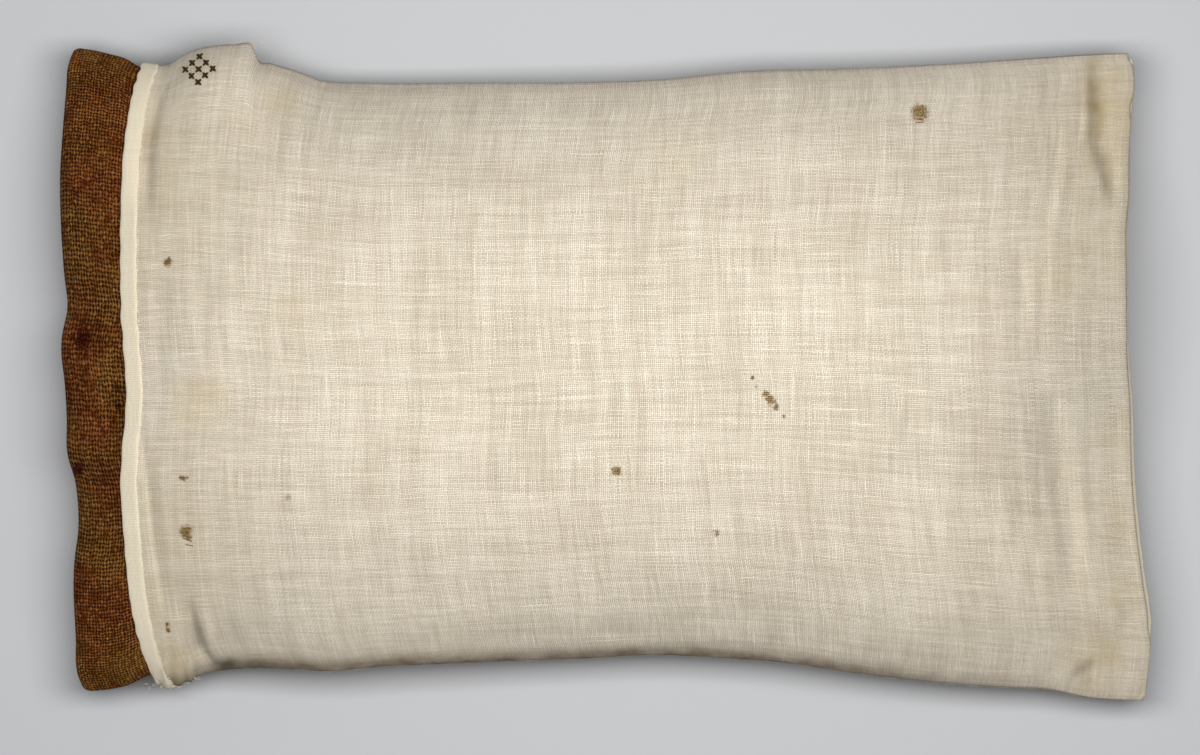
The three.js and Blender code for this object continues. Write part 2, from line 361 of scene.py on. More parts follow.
# %% The pillow's wool
wool_pitch = (1.42, 1.36)
wool = Finish("brown_wool", Roughness=0.95, Specular_IOR_Level=0.05)
height, tone, gaps = weave_of(wool, *wool_pitch, wander=2.4, ripple=0.3, drift=5.0)[:3]
at = wool.node("ShaderNodeTexCoord", {}, out=3)
fuzz = wool.cloud(at, 1900.0, 3.0, 0.75)
uneven = wool.cloud(at, 120.0, 3.0, 0.6)
clump = wool.cloud(at, 520.0, 2.0, 0.6)
open_weave = wool.cloud(at, 85.0, 3.0, 0.6).rising(0.36, 0.66)
share = 0.46 + (tone - 0.5) * 2.4 + (fuzz - 0.5) * 2.4 + (uneven - 0.5) * 1.4 + (clump - 0.5) * 1.6
share = share.limited()
olive_brown = wool.mixed(share, colour(98, 56, 10), colour(184, 132, 66))
red_brown = wool.mixed(share, colour(94, 36, 8), colour(184, 104, 58))
redder = wool.cloud(at, 46.0, 3.0, 0.6).rising(0.42, 0.66)
brown = wool.mixed(redder * 0.7, olive_brown, red_brown)
hollow = gaps * (1.5 + open_weave * 1.3) + (1 - height) ** 2 * 0.2 + (fuzz - 0.5) * 2.2
hollow = (hollow + (clump - 0.5) * 1.2 + (uneven - 0.5) * 0.8 - 0.05).limited()
# Darkened places round the mends: x and y, reach and strength.
wool_marks = [
    (-162.0, 10.4, 2.9, 0.95), (-163.8, -30.4, 2.3, 0.95), (-150.6, -5.0, 2.0, 0.6),
    (-150.2, -10.5, 1.6, 0.9), (-162.6, -41.0, 1.6, 0.4),
]
for x, y, reach, strength in wool_marks:
    far = wool.away_from(at, x, y)
    ragged = 1 - (far + (fuzz - 0.5) * 2.6 * reach * MM).rising(0.3 * reach * MM, 1.2 * reach * MM)
    brown = wool.mixed((ragged * strength).limited(), brown, colour(60, 12, 8))
wool.shows("Base Color", wool.mixed(hollow * 0.95, brown, colour(42, 12, 0)))
wool.bumped(height + fuzz * 0.9, 0.0005, 1.0)
print(wool.material.name, "has", len(wool.tree.nodes), "nodes")

# %% [markdown]
# ## Threads
# Sewing thread shows as little raised marks. One finish does for every thread: its colour, and a fine twist
# along it.

# %% Threads
def thread_finish(name, light, dark, grain=2200.0):
    thread = Finish(name, Roughness=0.85, Specular_IOR_Level=0.08)
    at = thread.node("ShaderNodeTexCoord", {}, out=3)
    twist = thread.cloud(at, grain, 2.0, 0.6)
    thread.shows("Base Color", thread.mixed(twist.rising(0.3, 0.7), dark, light))
    thread.bumped(twist, 0.00008, 0.6)
    return thread.material


linen_thread = thread_finish("linen_thread", colour(246, 237, 219), colour(196, 182, 154))
mark_thread = thread_finish("mark_thread", colour(92, 64, 22), colour(38, 24, 6))
darn_thread = thread_finish("darn_thread", colour(200, 170, 104), colour(92, 66, 24))
rust_thread = thread_finish("rust_thread", colour(150, 98, 66), colour(92, 48, 28))
red_thread = thread_finish("red_wool_thread", colour(92, 26, 14), colour(36, 8, 5))
wool_thread = thread_finish("brown_wool_thread", colour(96, 58, 24), colour(48, 26, 10))
threads = (linen_thread, mark_thread, darn_thread, rust_thread, red_thread, wool_thread)
print("threads:", ", ".join(thread.name for thread in threads))

# %% [markdown]
# ## The form of the case
# The frame gives the lengths, widths and heights. The edges wander from them as the cloth was pulled about,
# so each edge is a smooth line through a few listed places, in millimetres from the middle of the
# object. A curve object could hold each line too, but a function can be asked for the edge at any place at
# once.

# %% Smooth lines
def line_through(*places):
    """A smooth line through (place, value) pairs."""
    at, value = np.array(places, float).T
    slope = np.gradient(value, at)

    def line(t):
        t = np.clip(t, at[0], at[-1])
        k = np.clip(np.searchsorted(at, t) - 1, 0, len(at) - 2)
        span = at[k + 1] - at[k]
        f = (t - at[k]) / span
        return (value[k] * (1 + 2 * f) * (1 - f) ** 2 + slope[k] * span * f * (1 - f) ** 2
                + value[k + 1] * f * f * (3 - 2 * f) - slope[k + 1] * span * f * f * (1 - f))
    return line


def smooth(t):
    t = np.clip(t, 0, 1)
    return t * t * (3 - 2 * t)


print("halfway along a rise from 0 to 1:", round(float(smooth(0.5)), 2))

# %% Sizes from the frame
def node_box(node):
    return [np.array(corner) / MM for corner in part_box(node)]


crown = node_box("case_top")[1][2]
pillow_left, pillow_right = (corner[0] for corner in node_box("ticking_top"))
waist_seam = 21.2  # height of the side seams half way along
end_run = 92.0     # how far in from an end the stuffing is full
linen_wall = 0.6
print(f"crown at {crown:.1f} mm, pillow from {pillow_left:.1f} to {pillow_right:.1f} mm")

# %% The case's edges
far_edge = line_through(
    (-150, 96.2), (-144, 96.1), (-138.5, 95.4), (-135.4, 95.8), (-132, 98), (-128, 99.8), (-120, 101.3),
    (-113.6, 101.7), (-111.4, 102.1), (-109.6, 101.4), (-108.2, 97.6), (-104, 96), (-95, 93.3),
    (-88.5, 90.9), (-75, 90.2), (-40, 90.1), (-10, 90), (15, 90.8), (45, 93.6), (70, 94.2), (100, 95.5),
    (125, 97.1), (150, 98.8), (171, 99.6),
)
near_edge_line = line_through(
    (-150, -94), (-144, -95.4), (-140, -97), (-137, -98), (-132, -97.4), (-126, -94.6), (-120, -93),
    (-110, -92.1), (-95, -92.4), (-85, -92.9), (-72, -91.6), (-48, -90.5), (-22, -89.5), (-4, -88.9),
    (12, -88), (38, -89), (55, -90.3), (75, -93.2), (100, -96.3), (125, -98.2), (138, -98.9), (150, -101.3),
    (163, -102.1), (171, -102.3),
)
# The same edges without their small ins and outs, for the middle of the panels.
far_gentle = line_through(
    (-150, 96.5), (-120, 96), (-100, 93.6), (-75, 90.9), (-40, 90.1), (15, 90.4), (70, 93.9), (171, 99.6),
)
near_gentle = line_through(
    (-150, -95), (-120, -93.8), (-85, -92), (-22, -89.7), (12, -88.4), (55, -90.4), (100, -96),
    (171, -102.3),
)


def near_edge(x):
    """The near edge, ragged where the hem's corner is frayed."""
    frayed = smooth((-126 - x) / 3) * smooth((x + 142) / 3)
    return near_edge_line(x) + 0.4 * frayed * waves(x, 0 * x, 3.2, 71, lean=0.0)


def side_to_side(x, b):
    """The place across the case at share b, which is -1 at the near seam and 1 at the far one."""
    y = near_gentle(x) + (far_gentle(x) - near_gentle(x)) * (b + 1) / 2
    y += smooth((b - 0.72) / 0.28) * (far_edge(x) - far_gentle(x))
    return y + smooth((-b - 0.72) / 0.28) * (near_edge(x) - near_gentle(x))


print(f"case {far_gentle(0) - near_gentle(0):.0f} mm wide at its waist")

# %% The mouth, the closed end and the seams' height
mouth_line = line_through(
    (-97, -139.6), (-89.6, -143.1), (-83, -145), (-77, -146.2), (-70, -147.2), (-58, -148.2), (-46, -149),
    (-37, -149.5), (-24, -148.8), (-9, -147.5), (3, -148.1), (14, -149), (32, -149.5), (54, -149.5),
    (66, -149.1), (78, -147.9), (88, -146.3), (96, -144.2),
)
end_line = line_through(
    (-102.3, 166.2), (-99, 167.8), (-93, 168.8), (-86, 169.6), (-77, 170), (-63, 168.1), (-51, 166.6),
    (-33, 165), (-9, 164.2), (6, 163), (30, 162.7), (56, 162.7), (76, 163.3), (86, 164.3), (95, 164.6),
    (98.2, 164), (99.6, 162.8),
)
# Where the pillow inside ends, and the case begins to lie flat.
foot_line = line_through(
    (-102, 149), (-92, 151), (-76, 158), (-58, 154.5), (-45, 150), (-22, 150.5), (-6, 157), (18, 161),
    (44, 160.5), (58, 158), (68, 155), (84, 154), (100, 152),
)
seam_height = line_through(
    (-171, 17.2), (-130, 19), (-80, 20.8), (0, waist_seam), (80, 20.8), (130, 19.4), (171, 17.2),
)
# How much the far seam rises at its corner, and how much the near one drops.
far_lift = line_through(
    (-152, 0), (-142, 0), (-132, 3), (-122, 6.5), (-112, 7), (-107, 3), (-98, 0), (0, 0), (171, 0),
)
near_drop = line_through(
    (-152, 0), (-144, -2), (-137, -5), (-130, -5), (-121, -2), (-112, 0), (0, 0), (171, 0),
)


def far_rim(x):
    return seam_height(x) + far_lift(x)


def near_rim(x):
    return seam_height(x) + near_drop(x)


print(f"far seam up to {far_rim(-112):.1f} mm, near seam down to {near_rim(-133):.1f} mm")

# %% [markdown]
# ## Folds
# A fold is a line along which the cloth rises or dips. Walking along it, the cloth may fall away slowly on
# one side and sharply on the other, as at a crease. The strength of each fold fades at its ends. Softer
# unevenness is a sum of a few waves in fixed random directions. A draped Cloth simulation would make folds,
# but not in chosen places, so the linen's folds are laid out as heights.

# %% A fold and a few waves
def fold(x, y, places, left, right, height, fade=6.0, sharp=2.0):
    """The height of a fold along a line, `left` and `right` wide on its two sides."""
    best = np.full(x.shape, 1e9)
    side, along = np.ones(x.shape), np.zeros(x.shape)
    walked = 0.0
    for (x0, y0), (x1, y1) in zip(places, places[1:]):
        length = math.hypot(x1 - x0, y1 - y0)
        ux, uy = (x1 - x0) / length, (y1 - y0) / length
        t = np.clip((x - x0) * ux + (y - y0) * uy, 0, length)
        dx, dy = x - x0 - t * ux, y - y0 - t * uy
        away = np.hypot(dx, dy)
        near = away < best
        best = np.where(near, away, best)
        side = np.where(near, np.sign(ux * dy - uy * dx), side)
        along = np.where(near, walked + t, along)
        walked += length
    width = np.where(side > 0, left, right)
    ends = smooth(along / fade) * smooth((walked - along) / fade)
    return height * np.exp(-((best / width) ** sharp)) * ends


def waves(x, y, length, seed, count=7, lean=None):
    """A sum of waves about `length` long, between about -1 and 1. `lean` keeps them near one direction."""
    draw = np.random.default_rng(seed)
    total = np.zeros(x.shape)
    for _ in range(count):
        angle = draw.uniform(0, math.pi) if lean is None else lean + draw.normal(0, 0.12)
        k = 2 * math.pi / (length * draw.uniform(0.75, 1.35))
        total += np.sin(k * (x * math.cos(angle) + y * math.sin(angle)) + draw.uniform(0, 2 * math.pi))
    return total / math.sqrt(count)


print("a fold's height on its line:", float(fold(np.zeros(1), np.zeros(1), [(0, -9), (0, 9)], 2, 2, 1.0)[0]))

# %% The folds of the top panel
# Places, width on the left and right of the line, height, fade at the ends, sharpness.
case_folds = [
    ([(-135.4, 98), (-138.6, 84), (-141, 71), (-141.6, 58), (-141.4, 46)], 2.2, 4.0, -2.6, 12, 2.0),
    ([(-143.4, -16), (-141.2, -34), (-139.6, -52), (-137.6, -64), (-136, -76)], 2.8, 0.9, -1.5, 8, 1.6),
    ([(-129, -64), (-127.8, -75), (-125.6, -84), (-122, -90)], 1.0, 5.0, -2.4, 12, 1.5),
    ([(-126.4, -79), (-124, -87), (-120.6, -91.6), (-112, -101)], 0.8, 5.0, -4.4, 9, 1.3),
    ([(-125.4, -70), (-124.4, -79), (-122, -86.5), (-117.6, -92)], 2.4, 1.4, 2.0, 12, 2.0),
    ([(-121.5, -91.6), (-116, -90.6), (-110, -91.2)], 1.2, 1.2, -2.6, 3, 1.6),
    ([(-137.2, 42), (-136.6, 16), (-137, -4)], 3.2, 3.0, -0.9, 14, 2.0),
    ([(-134, 33), (-133.8, 14)], 0.6, 0.6, -0.35, 6, 2.0),
    ([(-121, 90), (-118, 60), (-117.5, 30)], 5.0, 5.0, -0.5, 14, 2.0),
    ([(152.3, 101), (152.9, 88), (153.4, 80), (153.5, 70), (155.2, 64), (156.4, 59), (156.4, 50)],
     3.6, 2.2, -2.2, 10, 2.0),
    ([(149.2, 97), (149.4, 84), (149.8, 72), (151.6, 63), (153, 54)], 1.2, 2.0, 0.8, 9, 2.0),
    ([(147.9, 94), (147.5, 78), (146.2, 69)], 0.8, 1.2, -1.0, 5, 1.6),
    ([(150.2, 98), (150.3, 76), (148.8, 64)], 2.4, 2.4, -1.1, 8, 2.0),
    ([(151, 79), (150.5, 68)], 0.7, 0.7, -0.6, 4, 2.0),
    ([(144.6, 73), (141.6, 60), (140, 55), (138.1, 44), (137.5, 33), (137, 18)], 1.5, 1.5, 0.75, 14, 2.0),
    ([(141.2, 80), (139.4, 66), (137, 54), (135.2, 40)], 1.8, 1.8, -0.7, 12, 2.0),
    ([(127, 44), (126.6, 22), (127.2, 0)], 3.0, 3.0, -0.7, 16, 2.0),
    ([(134, 26), (133.4, 8), (133.8, -10)], 2.2, 2.2, -0.6, 12, 2.0),
    ([(138.2, 0), (138.6, -20), (141, -33), (144.2, -46), (144.6, -56), (146, -66), (149, -76)],
     3.2, 5.0, -2.0, 16, 2.0),
    ([(131.6, -48), (132.2, -66), (133, -80)], 1.4, 1.4, -0.5, 10, 2.0),
    ([(143.5, -97), (148, -93.6), (153.4, -91)], 2.0, 2.0, -1.9, 4, 2.0),
    ([(160, -71), (163.8, -79)], 1.4, 1.8, -1.0, 3, 2.0),
    ([(-38, -80), (-30, -88)], 4.0, 4.0, -0.8, 4, 2.0),
    ([(-4, -80.5), (6, -81), (15, -84.5)], 3.2, 2.4, -1.4, 6, 2.0),
    ([(26, -84.6), (38, -84.2), (50, -86.4)], 1.0, 1.4, -0.8, 6, 2.0),
    ([(-60, 84), (-30, 82.5), (10, 84)], 3.0, 3.0, -0.5, 14, 2.0),
]


def case_relief(x, y, b):
    """All folds and unevenness of the top panel, fading out at the side seams."""
    z = sum(fold(x, y, *each) for each in case_folds)
    z += 3.2 * np.exp(-(((x + 120) / 13) ** 2 + ((y - 90) / 11) ** 2))
    z += 0.45 * waves(x, y, 85, 3) + 0.12 * waves(x, y, 24, 5)
    slope_end = smooth((x - 108) / 30) * smooth((foot_line(y) + 4 - x) / 8)
    z += 0.22 * slope_end * waves(x, y, 6.5, 8, lean=0.0) * (0.6 + 0.4 * waves(x, y, 40, 9))
    to_edge = np.minimum(far_edge(x) - y, y - near_edge(x))
    pucker = waves(x, 0 * x, 13, 11, lean=0.0) * np.where(y > 0, 0.35, 0.6)
    z += pucker * np.exp(-((to_edge - 5) / 4.5) ** 2)
    return z * (1 - np.abs(b) ** 14)


print(len(case_folds), "folds")

# %% The height of the cloth
def taper(d):
    """How full the stuffing is at a distance d in from an end."""
    d = np.clip(d / end_run, 0, 1)
    return (1 - (1 - d) ** 2) ** 0.65


def eased(d, soft):
    """d, but never below nothing, with a soft bend: taut cloth leaves the end of the pillow gently."""
    return soft * np.logaddexp(0, d / soft)


def bulge(b):
    return np.maximum(1 - b * b, 0) ** 0.62


top_rise, belly_drop, slack = crown - waist_seam - 2.9, 24.0, 2.75


def case_height(x, y, b, face):
    """The height of the case's outer face. b runs from -1 at the near seam to 1 at the far one."""
    near_side = np.abs(b) ** 5
    rim = seam_height(x) + near_side * np.where(b > 0, far_lift(x), near_drop(x))
    full = taper(x - pillow_left + 1.2) * taper(eased(foot_line(y) - x, 7.0))
    ease = slack * np.minimum(1, 4 * full)
    if face == "top":
        inward = end_line(y) - x
        turned_down = 0.9 * np.exp(-((inward / 1.3) ** 2))
        return rim + 0.35 + bulge(b) * (top_rise * full + ease) + case_relief(x, y, b) - turned_down
    uneven = 0.25 * waves(x, y, 30, 21) * (1 - b ** 4)
    return np.maximum(0.0, rim - 0.35 - bulge(b) * (belly_drop * full + ease) + uneven)


def end_strip(y):
    """How much of the back panel shows past the top panel at the closed end."""
    shown = smooth((y + 84) / 6) * smooth((58 - y) / 14) + 0.8 * np.exp(-(((y - 83.5) / 3) ** 2))
    return 1.15 * shown


middle = np.zeros(1)
print(f"top of the case at its middle: {case_height(middle, middle, middle, 'top')[0]:.1f} mm")

# %% [markdown]
# ## Pieces of cloth
# `create_grid` makes a flat net, and each of its corners is then put where the cloth lies. The same call
# keeps the corner's place on the flat cloth in the "weave" attribute for the finish. A net that is wrapped
# into a tube or closed along its edges has its doubles merged and its faces turned outwards.

# %% Pieces of cloth
def new_piece(name, bm, material):
    mesh = bpy.data.meshes.new(name)
    bm.to_mesh(mesh)
    bm.free()
    mesh.materials.append(material)
    mesh.polygons.foreach_set("use_smooth", [True] * len(mesh.polygons))
    piece = bpy.data.objects.new(name, mesh)
    scene.collection.objects.link(piece)
    return piece


def net(columns, rows, place, flat, face_down=False):
    """A bmesh net whose corners, at shares u and v of the way along and across, go to place(u, v)."""
    bm = bmesh.new()
    bmesh.ops.create_grid(bm, x_segments=columns, y_segments=rows, size=0.5)
    u, v = np.array([corner.co[:2] for corner in bm.verts]).T + 0.5
    points, laid = place(u, v) * MM, flat(u, v)
    weave = bm.verts.layers.float_vector.new("weave")
    for corner, point, cloth_place in zip(bm.verts, points, laid):
        corner.co = point
        corner[weave] = cloth_place
    if face_down:
        bmesh.ops.reverse_faces(bm, faces=bm.faces)
    return bm


def rolled(v):
    """Shares across a panel, closer together towards the side seams."""
    t = 2 * v - 1
    return 0.5 * t + 0.5 * np.sin(math.pi / 2 * t)


base_mouth = line_through(
    (-97, -139.6), (-88, -144), (-70, -148.5), (-40, -150.5), (0, -150.9), (40, -150.6), (70, -149),
    (88, -146.5), (96, -144.2),
)


def panel_place(face, start):
    """The places of a panel's corners, from `start` behind the mouth to the closed end."""
    def place(u, v):
        b = rolled(v)
        across_mouth = 96.2 * b
        begin = (mouth_line(across_mouth) if face == "top" else base_mouth(across_mouth)) + start
        finish = end_line(0.9 + 100.8 * b) - (end_strip(100.8 * b) if face == "top" else 0)
        x = begin + (finish - begin) * (u - 0.35 * np.sin(2 * math.pi * u) / (2 * math.pi))
        y = side_to_side(x, b)
        return np.stack([x, y, case_height(x, y, b, face)], axis=1)
    return place


def panel_flat(u, v):
    return np.stack([u * 322, (2 * v - 1) * 108, 0 * u], axis=1)


trial = net(4, 2, panel_place("top", 0.0), panel_flat)
print("a trial net has", len(trial.verts), "corners")
trial.free()

# %% [markdown]
# ## The two panels
# Each panel starts under the hem and runs to the closed end. The net is finer near the edges, where the
# folds are small. A Solidify modifier gives the linen its thickness, inwards, so that the net stays the
# outer face.

# %% The two panels
hem_width, hem_wall = 5.4, 1.4
under_hem = 4.4


def linen_panel(name, face, columns, rows):
    bm = net(columns, rows, panel_place(face, under_hem), panel_flat, face_down=face == "base")
    panel = new_piece(name, bm, case_linen)
    wall = panel.modifiers.new("linen_thickness", "SOLIDIFY")
    wall.thickness = linen_wall * MM
    wall.offset = -1
    wall.use_even_offset = False
    return panel


linen_top = linen_panel("linen_top", "top", 280, 164)
linen_base = linen_panel("linen_base", "base", 190, 110)
print("linen panels:", len(linen_top.data.polygons), len(linen_base.data.polygons), "faces")

# %% [markdown]
# ## Laying things on the cloth
# Stitches, darns and the pillow inside all need the height of the cloth under a point. A BVH tree of the
# net answers that with a ray cast straight down.

# %% Laying things on the cloth
def tree_of(face):
    bm = net(170, 110, panel_place(face, 0.0), panel_flat)
    tree = BVHTree.FromBMesh(bm)
    bm.free()
    return tree


case_trees = {face: tree_of(face) for face in ("top", "base")}


def cloth_at(x, y, face="top"):
    """The height of the case's outer face at a place and its normal, or None where there is no cloth."""
    hit = case_trees[face].ray_cast(Vector((x * MM, y * MM, 0.2)), Vector((0, 0, -1)))
    if hit[0] is None:
        return None, None
    return hit[0].z / MM, np.array(hit[1])


def unit(v):
    return v / max(np.linalg.norm(v), 1e-9)


def lay_thread(bm, points, thick, sides=6, up=(0, 0, 1)):
    """Adds a round thread with pinched ends along a few points, in millimetres."""
    points = np.array(points, float)
    steps = len(points) - 1
    made = bmesh.ops.create_grid(bm, x_segments=sides, y_segments=steps, size=0.5)["verts"]
    for corner in made:
        k = int(round((corner.co.y + 0.5) * steps))
        turn = 2 * math.pi * (corner.co.x + 0.5)
        ahead = unit(points[min(k + 1, steps)] - points[max(k - 1, 0)])
        side = unit(np.cross(ahead, up))
        over = np.cross(side, ahead)
        reach = thick / 2 if 0 < k < steps else 0.0
        corner.co = Vector((points[k] + reach * (math.cos(turn) * side + math.sin(turn) * over)) * MM)


def thread_piece(name, bm, material):
    bmesh.ops.remove_doubles(bm, verts=bm.verts, dist=2e-6)
    bmesh.ops.recalc_face_normals(bm, faces=bm.faces)
    return new_piece(name, bm, material)


def on_cloth(x, y, lift):
    z, _ = cloth_at(x, y)
    return None if z is None else np.array([x, y, z + lift])


top_z, base_z = cloth_at(0, 0)[0], cloth_at(0, 0, "base")[0]
print(f"at the middle, the top lies at {top_z:.1f} mm and the base at {base_z:.1f} mm")

# %% [markdown]
# ## The hem
# The mouth is hemmed: the edge is turned in twice and sewn down, so it is a stiff band three layers thick,
# with a round fold in front. It is one closed band round the mouth, so it is a net wrapped round a flat
# oval and joined to itself.

# %% The hem
def mouth_ring(t):
    """The share b across the mouth, and whether it is on top, going round over the top and back below."""
    top = t < 0.5
    s = np.where(top, 4 * t - 1, 3 - 4 * t)
    return 0.35 * s + 0.65 * np.sin(math.pi / 2 * s), top


def ring_point(t, inward):
    b, top = mouth_ring(t)
    across = 96.2 * b
    x = np.where(top, mouth_line(across), base_mouth(across)) + inward
    y = side_to_side(x, b)
    z = np.where(top, case_height(x, y, b, "top"), case_height(x, y, b, "base"))
    return np.stack([x, y, z], axis=1)


def ring_normal(t, inward):
    step = 0.004
    ahead = ring_point((t + step) % 1.0, inward) - ring_point((t - step) % 1.0, inward)
    deeper = ring_point(t, inward + 1.5) - ring_point(t, inward - 0.5)
    normal = np.cross(deeper, ahead)
    normal[:, 0] *= 0.5
    return normal / np.maximum(np.linalg.norm(normal, axis=1, keepdims=True), 1e-9)


def blunt(c):
    """Turns a circle's cosine or sine into that of an oval with flat sides."""
    return np.sign(c) * np.abs(c) ** 0.6


def hem_place(u, v):
    turn = 2 * math.pi * v
    t = u % 1.0
    inward = hem_width / 2 * (1 + blunt(np.cos(turn)))
    inward += 0.12 * waves(1000 * t / 2.3, 0 * t, 9, 31, lean=0.0)
    lip = 0.12 * np.exp(-(((inward - hem_width + 0.9) / 0.7) ** 2))
    lift = hem_wall / 2 * blunt(np.sin(turn)) - 0.32 + lip
    return ring_point(t, inward) + lift[:, None] * ring_normal(t, inward)


def hem_flat(u, v):
    inward = hem_width / 2 * (1 + blunt(np.cos(2 * math.pi * v)))
    return np.stack([np.where(v < 0.5, inward, -inward), u * 440, 0 * u], axis=1)


hem_bm = net(560, 26, hem_place, hem_flat)
bmesh.ops.remove_doubles(hem_bm, verts=hem_bm.verts, dist=1e-6)
bmesh.ops.recalc_face_normals(hem_bm, faces=hem_bm.faces)
lowest = min(corner.co.z for corner in hem_bm.verts)
for corner in hem_bm.verts:
    corner.co.z = max(corner.co.z, 0.0)
mouth_hem = new_piece("mouth_hem", hem_bm, hem_linen)
print(f"hem: lowest point was {lowest / MM:.2f} mm")

# %% [markdown]
# ## Sewing
# The hem is held by a row of small slip stitches. The side seams are two edges rolled together and whipped
# over with linen thread, which leaves a pale wavy ridge along the case's outline.

# %% The hem's stitches
draw = np.random.default_rng(7)
hem_sewing = bmesh.new()
for t in np.arange(0.004, 1.0, 0.0062):
    t0 = np.array([t, t + 0.0016, t + 0.0032])
    line = ring_point(t0 % 1.0, hem_width + 0.15 + np.array([0.25, 0.0, -0.35]))
    line += ring_normal(t0 % 1.0, hem_width) * np.array([[-0.12], [0.12], [-0.05]])
    line[:, 2] = np.maximum(line[:, 2], 0.16)
    first, middle, last = line
    lay_thread(hem_sewing, [first, (first + middle) / 2, middle, (middle + last) / 2, last], 0.28)
hem_stitches = thread_piece("hem_stitches", hem_sewing, linen_thread)
print("hem stitches:", len(hem_stitches.data.polygons), "faces")


# %% The side seams
def seam_line(side, x):
    edge, rim = (far_edge, far_rim) if side > 0 else (near_edge, near_rim)
    waver = 0.22 * waves(x, 0 * x, 9, 41 + side, lean=0.0)
    tucked = 0.75 if side > 0 else 0.35
    return np.stack([x, edge(x) - side * tucked + waver * 0.4, rim(x) - 0.4 + waver], axis=1)


def closed_ends(u):
    """1 along a roll, and 0 at its two ends."""
    return np.sqrt(np.clip(1 - (2 * u - 1) ** 60, 0, 1))


def rolled_edge(name, side):
    """The two panels' edges, rolled together."""
    xs = np.linspace(-139.5 if side > 0 else -135.5, 162.0 if side > 0 else 164.6, 420)

    def place(u, v):
        k = u * (len(xs) - 1)
        centre = seam_line(side, np.interp(k, np.arange(len(xs)), xs))
        turn = 2 * math.pi * v
        thick = 0.5 * (1 + 0.18 * waves(300 * u, 0 * u, 7, 51, lean=0.0)) * closed_ends(u)
        centre[:, 1] += thick * np.cos(turn) * 0.9
        centre[:, 2] += thick * np.sin(turn)
        return centre

    bm = net(420, 10, place, lambda u, v: np.stack([u * 320, v * 4, 0 * u], axis=1))
    bmesh.ops.remove_doubles(bm, verts=bm.verts, dist=1e-6)
    bmesh.ops.recalc_face_normals(bm, faces=bm.faces)
    return new_piece(name, bm, case_linen)


def whipping(name, side):
    """Slanted stitches over the rolled edge."""
    bm = bmesh.new()
    for x in np.arange(-133.0, 162.0, 3.1):
        x = x + draw.uniform(-0.35, 0.35)
        centre = seam_line(side, np.array([x - 0.35, x, x + 0.35]))
        turns = (150, 105, 60, 15, -30)
        line = []
        for k, degrees in enumerate(turns):
            middle = centre[0] + (centre[2] - centre[0]) * k / 4
            a = math.radians(degrees)
            line.append(middle + 0.58 * np.array([0, side * math.cos(a) * 0.95, math.sin(a)]))
        lay_thread(bm, line, 0.26, up=(1, 0, 0))
    return thread_piece(name, bm, linen_thread)


side_roll_far, side_roll_near = rolled_edge("side_roll_far", 1), rolled_edge("side_roll_near", -1)
side_stitches_far, side_stitches_near = whipping("side_stitches_far", 1), whipping("side_stitches_near", -1)
print("whip stitches:", len(side_stitches_far.data.polygons), len(side_stitches_near.data.polygons), "faces")


# %% The closed end
def end_roll_place(u, v):
    y = -100.6 + 198.6 * u
    turn = 2 * math.pi * v
    thick = 0.8 * (1 + 0.08 * waves(y, 0 * y, 8, 57, lean=0.0)) * closed_ends(u)
    x = end_line(y) - 0.85
    return np.stack([x + thick * np.cos(turn), y, seam_height(x) - 0.5 + thick * np.sin(turn)], axis=1)


end_bm = net(260, 10, end_roll_place, lambda u, v: np.stack([v * 4, u * 200, 0 * u], axis=1))
bmesh.ops.remove_doubles(end_bm, verts=end_bm.verts, dist=1e-6)
bmesh.ops.recalc_face_normals(end_bm, faces=end_bm.faces)
end_roll = new_piece("end_roll", end_bm, hem_linen)

end_sewing = bmesh.new()
for y in np.arange(-96.0, 95.0, 3.4):
    y = y + draw.uniform(-0.3, 0.3)
    x = float(end_line(y)) - float(end_strip(y)) - 0.1
    z = float(near_rim(x)) - 0.2
    lay_thread(end_sewing, [(x - 0.5, y - 0.5, z + 0.15), (x - 0.2, y - 0.25, z + 0.3), (x + 0.1, y, z + 0.2),
                            (x + 0.4, y + 0.3, z - 0.05)], 0.26)
end_stitches = thread_piece("end_stitches", end_sewing, linen_thread)
print("closed end's stitches:", len(end_stitches.data.polygons), "faces")

# %% [markdown]
# ## The corner mark and the darns
# A linen case was marked in cross-stitch near a corner. Here it is a plain lozenge of crosses, each of two
# crossed threads. The worn places were darned: a few threads one way, and a few woven over and under them.

# %% The corner mark
def across_cloth(bm, start, end, thick, lift, arch=0.12, steps=5, droop=0.0):
    """A thread laid over the cloth from start to end, `arch` higher at its middle."""
    line = []
    for k in range(steps + 1):
        t = k / steps
        bow = math.sin(math.pi * t)
        x, y = start[0] + (end[0] - start[0]) * t, start[1] + (end[1] - start[1]) * t + droop * bow
        p = on_cloth(x, y, lift + arch * bow)
        if p is not None:
            line.append(p)
    if len(line) > 3:
        lay_thread(bm, line, thick)


mark_x = sum(corner[0] for corner in node_box("cross_stitch_mark")) / 2 + 0.9
mark_y = 93.5
mark_bm = bmesh.new()
cross, pitch, mark_thick = 1.0, 2.2, 0.8
for row in range(-2, 3):
    for col in range(-2, 3):
        if abs(row) + abs(col) not in (0, 2):
            continue
        middle = np.array([mark_x + col * pitch, mark_y + row * pitch * 0.92])
        jitter = draw.uniform(-0.12, 0.12, 8).reshape(4, 2)
        for k, (slant, lift) in enumerate((((1, 1), 0.12), ((1, -1), 0.45))):
            half_stroke = cross * np.array(slant)
            start, end = middle - half_stroke + jitter[2 * k], middle + half_stroke + jitter[2 * k + 1]
            across_cloth(mark_bm, start, end, mark_thick, lift)
corner_mark = thread_piece("corner_mark", mark_bm, mark_thread)
print("corner mark:", len(corner_mark.data.polygons), "faces")


